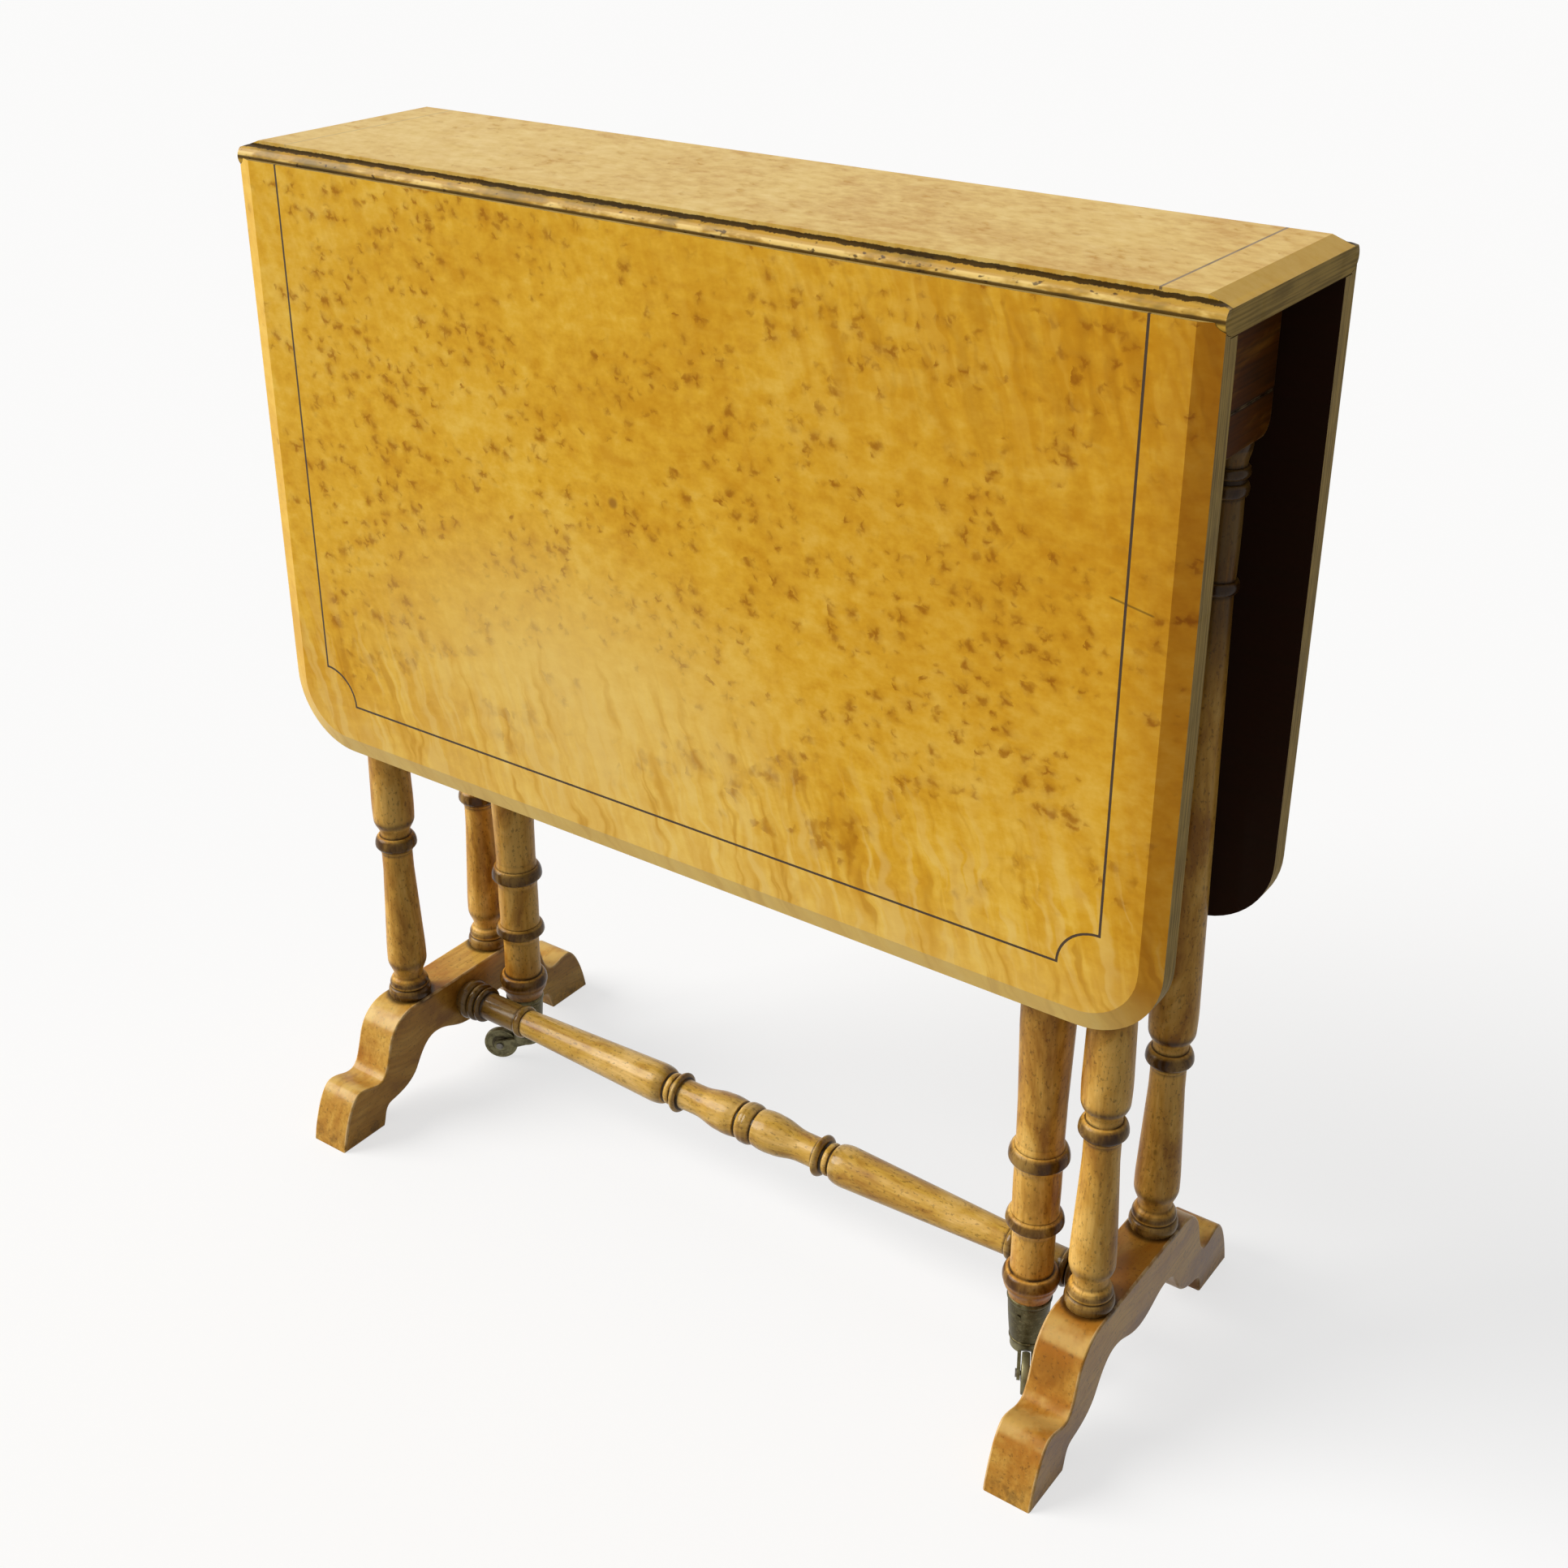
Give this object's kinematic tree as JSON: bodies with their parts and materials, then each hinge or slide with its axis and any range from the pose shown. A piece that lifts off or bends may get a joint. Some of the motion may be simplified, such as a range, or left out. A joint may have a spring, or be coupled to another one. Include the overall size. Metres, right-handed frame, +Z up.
{
  "type": "sutherland table",
  "caption": "Narrow table with two deep drop leaves on rule joints, turned trestle ends joined by a turned stretcher, and swinging turned gate legs on castors.",
  "frame": {"origin": "on the floor under the middle of the fixed top", "axes": "+Z up, +X along the length of the top, the front leaf at -Y"},
  "size_m": [0.65, 0.268, 0.705],
  "materials": {
    "bird_eye_wood": "satin",
    "top_wood": "satin",
    "turned_wood": "satin",
    "frame_wood": "satin",
    "ebony": "satin",
    "brass": "satin",
    "horn_metal": "satin",
    "steel": "satin"
  },
  "bodies": {
    "frame": {"top_board": "top_wood", "top_stringing": "frame_wood", "hinge_plates_top": "brass", "hinge_pins": "steel", "hinge_screws_top": "brass", "long_rail": "frame_wood", "frieze_block_left": "frame_wood", "frieze_block_right": "frame_wood", "trestle_rail_left": "frame_wood", "trestle_rail_right": "frame_wood", "column_front_left": "turned_wood", "column_rear_left": "turned_wood", "column_front_right": "turned_wood", "column_rear_right": "turned_wood", "foot_left": "turned_wood", "foot_right": "turned_wood", "stretcher": "turned_wood", "top_screws": "steel", "gate_block_front": "frame_wood", "gate_block_rear": "frame_wood", "gate_block_screws": "steel", "gate_pin_front": "steel", "gate_pin_rear": "steel"},
    "leaf_front": {"leaf_front": "bird_eye_wood", "stringing_front": "ebony", "hinge_plates_front": "brass", "hinge_screws_front": "brass"},
    "gate_front": {"fly_rail_front": "frame_wood", "gate_leg_front": "turned_wood", "castor_cup_front": "brass", "cup_screws_front": "brass"},
    "castor_front": {"castor_horn_front": "horn_metal", "castor_axle_front": "steel"},
    "wheel_front": {"castor_wheel_front": "horn_metal"},
    "leaf_rear": {"leaf_rear": "bird_eye_wood", "stringing_rear": "ebony", "hinge_plates_rear": "brass", "hinge_screws_rear": "brass"},
    "gate_rear": {"fly_rail_rear": "frame_wood", "gate_leg_rear": "turned_wood", "castor_cup_rear": "brass", "cup_screws_rear": "brass"},
    "castor_rear": {"castor_horn_rear": "horn_metal", "castor_axle_rear": "steel"},
    "wheel_rear": {"castor_wheel_rear": "horn_metal"}
  },
  "joints": [
    {"name": "leaf_front_hinge", "type": "hinge", "parent": "frame", "child": "leaf_front", "pos_m": [0, -0.072, 0.695], "axis": [-1, 0, 0], "range_deg": [0, 90]},
    {"name": "gate_front_hinge", "type": "hinge", "parent": "frame", "child": "gate_front", "pos_m": [0, -0.024, 0.6565], "axis": [0, 0, -1], "range_deg": [0, 3]},
    {"name": "castor_front_swivel", "type": "hinge", "parent": "gate_front", "child": "castor_front", "pos_m": [0.2375, -0.0315, 0.025], "axis": [0, 0, 1], "continuous": true},
    {"name": "wheel_front_roll", "type": "hinge", "parent": "castor_front", "child": "wheel_front", "pos_m": [0.24736, -0.05004, 0.013], "axis": [0.8829, 0.4695, 0], "continuous": true},
    {"name": "leaf_rear_hinge", "type": "hinge", "parent": "frame", "child": "leaf_rear", "pos_m": [0, 0.072, 0.695], "axis": [1, 0, 0], "range_deg": [0, 90]},
    {"name": "gate_rear_hinge", "type": "hinge", "parent": "frame", "child": "gate_rear", "pos_m": [0, 0.024, 0.6565], "axis": [0, 0, -1], "range_deg": [0, 3]},
    {"name": "castor_rear_swivel", "type": "hinge", "parent": "gate_rear", "child": "castor_rear", "pos_m": [-0.2375, 0.0315, 0.025], "axis": [0, 0, 1], "continuous": true},
    {"name": "wheel_rear_roll", "type": "hinge", "parent": "castor_rear", "child": "wheel_rear", "pos_m": [-0.25569, 0.021, 0.013], "axis": [0.5, -0.866, 0], "continuous": true}
  ]
}
